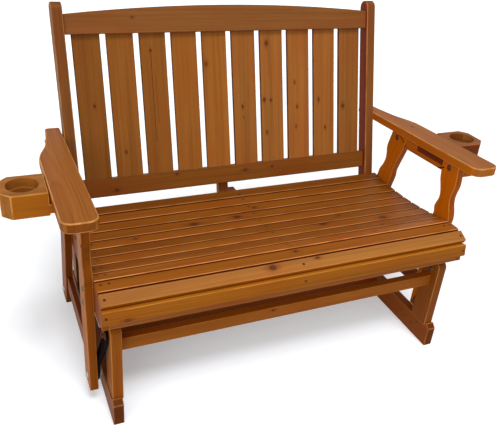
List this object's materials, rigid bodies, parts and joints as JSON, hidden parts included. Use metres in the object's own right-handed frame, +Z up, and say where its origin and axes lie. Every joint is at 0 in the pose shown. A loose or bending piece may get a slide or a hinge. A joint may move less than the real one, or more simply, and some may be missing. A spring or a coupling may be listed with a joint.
{
  "type": "patio glider",
  "caption": "Wooden patio glider bench with slatted seat and back, armrests with cup holders, hung on steel swing arms over a low runner base.",
  "frame": {"origin": "bottom centre of the whole part, on the floor", "axes": "+X to the right as seen from the front, +Y to the back, +Z up"},
  "size_m": [1.569, 0.7563, 1.0341],
  "materials": {
    "base_wood": "stained and varnished softwood, satin gloss",
    "black_steel": "black powder coat, satin",
    "seat_wood": "stained and varnished softwood, satin gloss",
    "back_wood": "stained and varnished softwood, satin gloss",
    "leg_wood": "stained and varnished softwood, satin gloss",
    "arm_wood": "stained and varnished softwood, satin gloss",
    "plate_metal": "dark brown, satin",
    "zinc_steel": "zinc plated, satin"
  },
  "bodies": {
    "base": {"runner_left": "base_wood", "runner_right": "base_wood", "base_post_front_left": "base_wood", "base_post_front_right": "base_wood", "base_post_rear_left": "base_wood", "base_post_rear_right": "base_wood", "base_rail_front": "base_wood", "base_rail_rear": "base_wood", "base_rail_centre": "base_wood", "base_screws": "zinc_steel", "base_pivot_bolts": "zinc_steel", "base_pivot_nuts": "zinc_steel"},
    "arm_front_left": {"swing_arm_front_left": "black_steel"},
    "arm_front_right": {"swing_arm_front_right": "black_steel"},
    "arm_rear_left": {"swing_arm_rear_left": "black_steel"},
    "arm_rear_right": {"swing_arm_rear_right": "black_steel"},
    "bench": {"seat_rail_left": "seat_wood", "seat_rail_middle": "seat_wood", "seat_rail_right": "seat_wood", "seat_cleats": "seat_wood", "seat_apron": "seat_wood", "front_slat": "seat_wood", "nose_slat": "seat_wood", "seat_slat_1": "seat_wood", "seat_slat_2": "seat_wood", "seat_slat_3": "seat_wood", "seat_slat_4": "seat_wood", "seat_slat_5": "seat_wood", "seat_slat_6": "seat_wood", "seat_slat_7": "seat_wood", "seat_slat_8": "seat_wood", "seat_slat_9": "seat_wood", "seat_slat_10": "seat_wood", "back_post_left": "back_wood", "back_post_right": "back_wood", "crest_rail": "back_wood", "lower_back_rail": "back_wood", "back_brace": "back_wood", "back_slats_left": "back_wood", "back_slats_right": "back_wood", "leg_front_left": "leg_wood", "leg_front_right": "leg_wood", "leg_rear_left": "leg_wood", "leg_rear_right": "leg_wood", "side_stretcher_left": "leg_wood", "side_stretcher_right": "leg_wood", "armrest_left": "arm_wood", "armrest_right": "arm_wood", "arm_apron_left": "arm_wood", "arm_apron_right": "arm_wood", "arm_bearer_left": "arm_wood", "arm_bearer_right": "arm_wood", "cup_holder_left": "arm_wood", "cup_holder_right": "arm_wood", "arm_plate": "plate_metal", "bench_pivot_bolts": "zinc_steel", "bench_pivot_nuts": "zinc_steel", "leg_bolts": "zinc_steel", "arm_bolts": "zinc_steel", "bench_screws": "zinc_steel"}
  },
  "joints": [
    {"name": "glide", "type": "hinge", "parent": "base", "child": "arm_front_left", "pos_m": [-0.5648, -0.30458, 0.292], "axis": [1, 0, 0], "range_deg": [-15, 15]},
    {"name": "front_right_swing", "type": "hinge", "parent": "base", "child": "arm_front_right", "pos_m": [0.5648, -0.30458, 0.292], "axis": [1, 0, 0], "range_deg": [-15, 15]},
    {"name": "rear_left_swing", "type": "hinge", "parent": "base", "child": "arm_rear_left", "pos_m": [-0.5648, 0.28542, 0.292], "axis": [1, 0, 0], "range_deg": [-15, 15]},
    {"name": "rear_right_swing", "type": "hinge", "parent": "base", "child": "arm_rear_right", "pos_m": [0.5648, 0.28542, 0.292], "axis": [1, 0, 0], "range_deg": [-15, 15]},
    {"name": "bench_pivot", "type": "hinge", "parent": "arm_front_left", "child": "bench", "pos_m": [-0.5807, -0.22958, 0.09], "axis": [1, 0, 0], "range_deg": [-20.3, 20.3]}
  ],
  "couplings": [
    {"joint": "front_right_swing", "follows": "glide", "ratio": 1},
    {"joint": "rear_left_swing", "follows": "glide", "ratio": 1},
    {"joint": "rear_right_swing", "follows": "glide", "ratio": 1},
    {"joint": "bench_pivot", "follows": "glide", "ratio": -1.3409}
  ]
}
